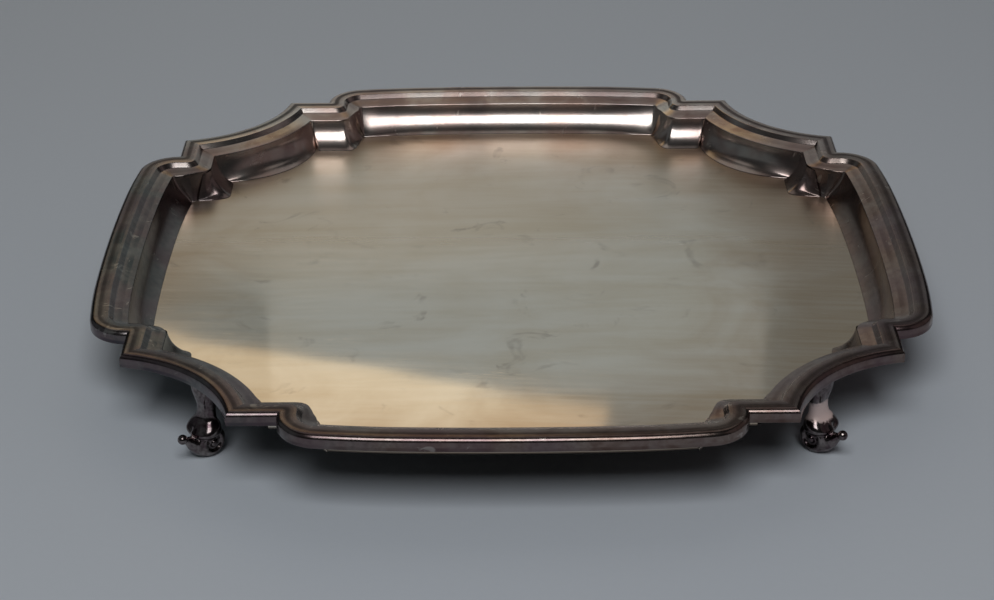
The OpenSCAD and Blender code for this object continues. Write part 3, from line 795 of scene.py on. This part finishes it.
def foot_mesh(plan):
    """A cast foot: pad, waisted leg, spread shoulder, scroll with ringed eyes, and a beaded toe."""
    scroll_z = plan.scroll_r - 0.2
    levels = (
        # height, back, front, half width, squareness
        (plan.rim_z - 2.7, -1.4, 2.4, 5.0, 3.0), (plan.rim_z - 4.2, -2.8, 2.8, 5.4, 3.0),
        (plan.rim_z - 7.0, -5.6, 3.0, 5.5, 3.2), (plan.rim_z - 9.2, -5.8, 2.9, 5.1, 3.0),
        (21.3, -4.4, 2.6, 4.3, 2.6), (18.6, -3.3, 2.1, 3.7, 2.3), (16.4, -3.0, 2.2, 3.9, 2.2),
        (14.2, -3.2, 3.0, 4.6, 2.1), (12.5, -3.9, 4.6, 6.0, 2.1), (11.0, -4.2, 6.0, 6.7, 2.1),
        (10.1, -4.3, 6.6, 6.8, 2.1), (9.3, -4.3, 6.6, 6.5, 2.1), (8.5, -4.3, 6.0, 5.2, 2.2), (7.3, -4.4, 4.4, 4.2, 2.4),
        (6.0, -4.4, 2.8, 3.9, 2.4),
    )
    z, back, front, half, power = np.array(levels[::-1]).T
    at = np.linspace(z[0], z[-1], 70)
    back, front, half, power = [curve(at, z, v) for v in (back, front, half, power)]
    turn = np.linspace(0, 2 * math.pi, 40, endpoint=False)
    c, s = np.cos(turn)[None], np.sin(turn)[None]
    e = (2 / power)[:, None]
    x = ((front + back) / 2)[:, None] + ((front - back) / 2)[:, None] * np.sign(c) * np.abs(c) ** e
    y = half[:, None] * np.sign(s) * np.abs(s) ** e
    # The front of the shoulder is dished like a spoon, with a rib left down its middle
    spoon = np.exp(-((at - 10.6) / 1.5) ** 2)[:, None] * np.clip(c, 0, 1) * 0.9
    x = x - spoon * (1 - np.exp(-(y / 0.75) ** 2)) * np.exp(-(y / 4.2) ** 4)
    rings = np.stack((x, y, np.repeat(at[:, None], 40, 1)), 2)
    n, m = rings.shape[:2]
    index = np.arange(n * m).reshape(n, m)
    a, b = index[:-1], index[1:]
    faces = np.stack((a, np.roll(a, -1, 1), np.roll(b, -1, 1), b), 2).reshape(-1, 4).tolist()
    faces += [index[0][::-1].tolist(), index[-1].tolist()]
    verts = rings.reshape(-1, 3).tolist()

    def join(new_verts, new_faces):
        base = len(verts)
        verts.extend(new_verts)
        faces.extend([[base + i for i in face] for face in new_faces])

    r, w = plan.scroll_r, 4.0
    outline = [(0.001, -w - 0.95), (0.5, -w - 0.9), (0.95, -w - 0.72), (1.35, -w - 0.3), (1.55, -w + 0.3),
               (1.9, -w + 0.75), (2.6, -w + 0.75), (3.0, -w + 0.3), (3.3, -w - 0.05), (3.8, -w - 0.2),
               (4.2, -w - 0.05), (4.5, -w + 0.35), (4.9, -w + 0.6), (r - 0.3, -w + 1.0), (r - 0.1, -2.2),
               (r - 0.25, -0.7), (r, -0.3), (r, 0.0)]
    outline += [(x, -y) for x, y in outline[-2::-1]]
    drum, drum_faces = lathe(outline)
    join([(x, y, z + scroll_z) for x, y, z in drum], drum_faces)
    # The toe curls up out of the scroll and ends in a bead
    path = np.array(((2.6, -1.2), (4.4, -0.5), (6.4, 0.8), (8.4, 2.5), (9.7, 3.5)))
    size = (4.1, 3.6, 2.7, 1.5, 1.0)
    cone, cone_faces = [], []
    for k, ((px, pz), rad) in enumerate(zip(path, size)):
        lean = math.radians(20 + 5 * k)
        for t in np.linspace(0, 2 * math.pi, 20, endpoint=False):
            rise = rad * math.sin(t)
            cone.append((px - math.sin(lean) * rise, rad * math.cos(t), scroll_z + pz + math.cos(lean) * rise))
    for k in range(4):
        for i in range(20):
            j = (i + 1) % 20
            cone_faces.append([k * 20 + i, k * 20 + j, (k + 1) * 20 + j, (k + 1) * 20 + i])
    cone_faces += [list(range(19, -1, -1)), list(range(80, 100))]
    join(cone, cone_faces)
    bead = [(1.78 * math.sin(t), -1.78 * math.cos(t)) for t in np.linspace(0.001, math.pi - 0.001, 18)]
    ball, ball_faces = lathe(bead, 32)
    join([(x + 10.4, y, z + scroll_z + 3.9) for x, y, z in ball], ball_faces)
    mesh = bpy.data.meshes.new("foot_casting")
    mesh.from_pydata((np.array(verts) / 1000).tolist(), [], faces)
    work = bmesh.new()
    work.from_mesh(mesh)
    bmesh.ops.remove_doubles(work, verts=work.verts, dist=1e-6)
    bmesh.ops.holes_fill(work, edges=work.edges, sides=64)
    bmesh.ops.recalc_face_normals(work, faces=work.faces)
    work.to_mesh(mesh)
    work.free()
    rough = bpy.data.objects.new("foot_casting", mesh)
    bpy.context.scene.collection.objects.link(rough)
    remesh = rough.modifiers.new("one skin", "REMESH")
    remesh.mode, remesh.voxel_size = "VOXEL", 0.0002
    soften = rough.modifiers.new("chased smooth", "SMOOTH")
    soften.factor, soften.iterations = 0.5, 3
    solid = bpy.data.meshes.new_from_object(rough.evaluated_get(bpy.context.evaluated_depsgraph_get()))
    bpy.data.objects.remove(rough)
    # Everything rests on the table: what softening pushed below it is pressed flat
    co = np.zeros(len(solid.vertices) * 3)
    solid.vertices.foreach_get("co", co)
    co[2::3] = np.maximum(co[2::3], 0.0)
    solid.vertices.foreach_set("co", co)
    solid.shade_smooth()
    return solid


# ---------------------------------------------------------------- operators

class SALVER_OT_plate(Operator):
    """Makes the plate: a flat sheet of silver with four small punches"""
    bl_idname = "salver.plate"
    bl_label = "Plate"

    def execute(self, context):
        plan = Outline(context.scene.salver_shape)
        piece = finished("plate_sheet", plate_mesh(plan), 20)
        placed(piece, "plate", plate_silver(context.scene.salver_finish))
        return {"FINISHED"}


class SALVER_OT_sides(Operator):
    """Makes the four bowed lengths of the border"""
    bl_idname = "salver.sides"
    bl_label = "Bowed sides"

    def execute(self, context):
        plan = Outline(context.scene.salver_shape)
        material = border_silver(context.scene.salver_finish)
        rings, dark = rail_solid(plan, plan.side_run)
        rings = np.concatenate((rings[:0:-1] * (-1, 1, 1), rings))
        dark = np.concatenate((dark[:0:-1], dark))
        scoop = side_scoop(plan)
        for node, turn in SIDES.items():
            placed(lofted(node + "_moulding", [(rings, dark), scoop], turn), node, material)
        return {"FINISHED"}


class SALVER_OT_returns(Operator):
    """Makes the eight straight returns, each with the half of a nose"""
    bl_idname = "salver.returns"
    bl_label = "Returns"

    def execute(self, context):
        plan = Outline(context.scene.salver_shape)
        material = border_silver(context.scene.salver_finish)
        solids = [rail_solid(plan, plan.return_run), return_scoop(plan)]
        for node, (turn, flip) in RETURNS.items():
            placed(lofted(node + "_moulding", solids, turn, flip), node, material)
        return {"FINISHED"}


class SALVER_OT_corners(Operator):
    """Makes the four incurved corners"""
    bl_idname = "salver.corners"
    bl_label = "Incurved corners"

    def execute(self, context):
        plan = Outline(context.scene.salver_shape)
        material = border_silver(context.scene.salver_finish)
        solids = [rail_solid(plan, plan.corner_run), corner_scoop(plan)]
        for node, turn in CORNERS.items():
            placed(lofted(node + "_moulding", solids, turn), node, material)
        return {"FINISHED"}


class SALVER_OT_feet(Operator):
    """Makes the four cast feet"""
    bl_idname = "salver.feet"
    bl_label = "Feet"

    def execute(self, context):
        plan = Outline(context.scene.salver_shape)
        material = foot_silver(context.scene.salver_finish)
        casting = foot_mesh(plan)
        out = plan.corner_c * math.sqrt(2) - plan.corner_r - 4.7
        for node, turn in FEET.items():
            mesh = casting.copy()
            mesh.transform(Matrix.Rotation(math.radians(turn), 4, "Z") @ Matrix.Translation((out / 1000, 0, 0)))
            piece = bpy.data.objects.new(node + "_casting", mesh)
            context.scene.collection.objects.link(piece)
            placed(piece, node, material)
        return {"FINISHED"}


class SALVER_OT_stage(Operator):
    """Sets out the floor, the soft lights and the camera"""
    bl_idname = "salver.stage"
    bl_label = "Stage"

    def execute(self, context):
        stage, scene = context.scene.salver_stage, context.scene
        mesh = bpy.data.meshes.new("floor")
        size, n = 8.0, 8
        verts = [(-size / 2 + size * i / n, -size / 2 + size * j / n, 0) for j in range(n + 1) for i in range(n + 1)]
        starts = [j * (n + 1) + i for j in range(n) for i in range(n)]
        mesh.from_pydata(verts, [], [(k, k + 1, k + n + 2, k + n + 1) for k in starts])
        mesh.materials.append(floor_paper(stage))
        floor = bpy.data.objects.new("floor", mesh)
        scene.collection.objects.link(floor)
        world = bpy.data.worlds.new("Studio")
        world.use_nodes = True
        world.node_tree.nodes["Background"].inputs["Color"].default_value = linear(stage.room)
        scene.world = world
        scene.view_settings.view_transform = "Standard"
        for name, at, aim, size, shine, tint, tilt in (
            # name, place, point it faces, width and height, brightness, colour, tilt in degrees
            ("softbox above the front", (-0.07, -0.98, 1.26), (0, 0, 0.02), (0.83, 0.80), 4.6, "#FFFFFF", 0),
            ("peach panel behind", (-0.250, 0.80, 0.625), (-0.250, 0, 0.625), (0.62, 0.30), 0.48, "#FFDDA8", -11.4),
            ("wall behind", (0.02, 0.86, 0.33), (0.02, 0, 0.33), (0.90, 0.62), 0.23, "#ECF4F2", 0),
            ("wall behind, middle", (0.01, 0.84, 0.36), (0.01, 0, 0.36), (0.40, 0.50), 0.11, "#F4F4EE", 0),
            ("card above behind", (0.0, 0.62, 1.15), (0, 0, 0.02), (1.2, 0.75), 0.30, "#F6EDE8", 0),
            ("left fill", (-1.0, 0.0, 0.55), (0, 0, 0.02), (1.5, 0.9), 0.10, "#DCE8EC", 0),
            ("right fill", (1.0, 0.0, 0.55), (0, 0, 0.02), (1.5, 0.9), 0.12, "#F0DCDC", 0),
        ):
            panel(name, at, aim, size, shine, tint, tilt)
        camera = bpy.data.objects.new("camera", bpy.data.cameras.new("camera"))
        scene.collection.objects.link(camera)
        camera.data.sensor_width, camera.data.lens = 36.0, stage.lens
        camera.data.clip_start, camera.data.clip_end = 0.01, 50
        ahead = Vector((math.sin(stage.yaw) * math.cos(stage.pitch), math.cos(stage.yaw) * math.cos(stage.pitch),
                        -math.sin(stage.pitch)))
        right = Vector((math.cos(stage.yaw), -math.sin(stage.yaw), 0))
        up = right.cross(ahead)
        turned_right = right * math.cos(stage.roll) + up * math.sin(stage.roll)
        turned_up = up * math.cos(stage.roll) - right * math.sin(stage.roll)
        facing = Matrix((turned_right, turned_up, -ahead)).transposed()
        camera.matrix_world = Matrix.Translation(stage.camera_at) @ facing.to_4x4()
        scene.camera = camera
        return {"FINISHED"}


def panel(name, at, aim, size, shine, tint, tilt):
    """A rectangular soft light of one brightness, facing the given point; it isn't seen directly."""
    light = bpy.data.lights.new(name, "AREA")
    light.shape, light.size, light.size_y = "RECTANGLE", size[0], size[1]
    light.energy = shine * math.pi * size[0] * size[1]
    light.color = linear(tint)[:3]
    lamp = bpy.data.objects.new(name, light)
    lamp.location = at
    lamp.rotation_mode = "QUATERNION"
    facing = (Vector(aim) - Vector(at)).to_track_quat("-Z", "Y")
    lamp.rotation_quaternion = facing @ Quaternion((0, 0, 1), math.radians(tilt))
    lamp.visible_camera = False
    bpy.context.scene.collection.objects.link(lamp)


class SALVER_PT_panel(Panel):
    """Lists the salver's sizes, finishes and operators"""
    bl_label = "Silver salver"
    bl_idname = "SALVER_PT_panel"
    bl_space_type = "VIEW_3D"
    bl_region_type = "UI"
    bl_category = "Salver"

    def draw(self, context):
        for group in (context.scene.salver_shape, context.scene.salver_finish, context.scene.salver_stage):
            box = self.layout.box()
            for name in group.__annotations__:
                box.prop(group, name)
        for operator in OPERATORS:
            self.layout.operator(operator.bl_idname)


OPERATORS = (SALVER_OT_plate, SALVER_OT_sides, SALVER_OT_returns, SALVER_OT_corners, SALVER_OT_feet, SALVER_OT_stage)
CLASSES = (SalverShape, SalverFinish, SalverStage, *OPERATORS, SALVER_PT_panel)


def register():
    for item in CLASSES:
        bpy.utils.register_class(item)
    bpy.types.Scene.salver_shape = PointerProperty(type=SalverShape)
    bpy.types.Scene.salver_finish = PointerProperty(type=SalverFinish)
    bpy.types.Scene.salver_stage = PointerProperty(type=SalverStage)


def unregister():
    for name in ("salver_shape", "salver_finish", "salver_stage"):
        delattr(bpy.types.Scene, name)
    for item in reversed(CLASSES):
        bpy.utils.unregister_class(item)


def main():
    register()
    bpy.ops.salver.plate()
    bpy.ops.salver.sides()
    bpy.ops.salver.returns()
    bpy.ops.salver.corners()
    bpy.ops.salver.feet()
    bpy.ops.salver.stage()


if __name__ == "__main__":
    main()
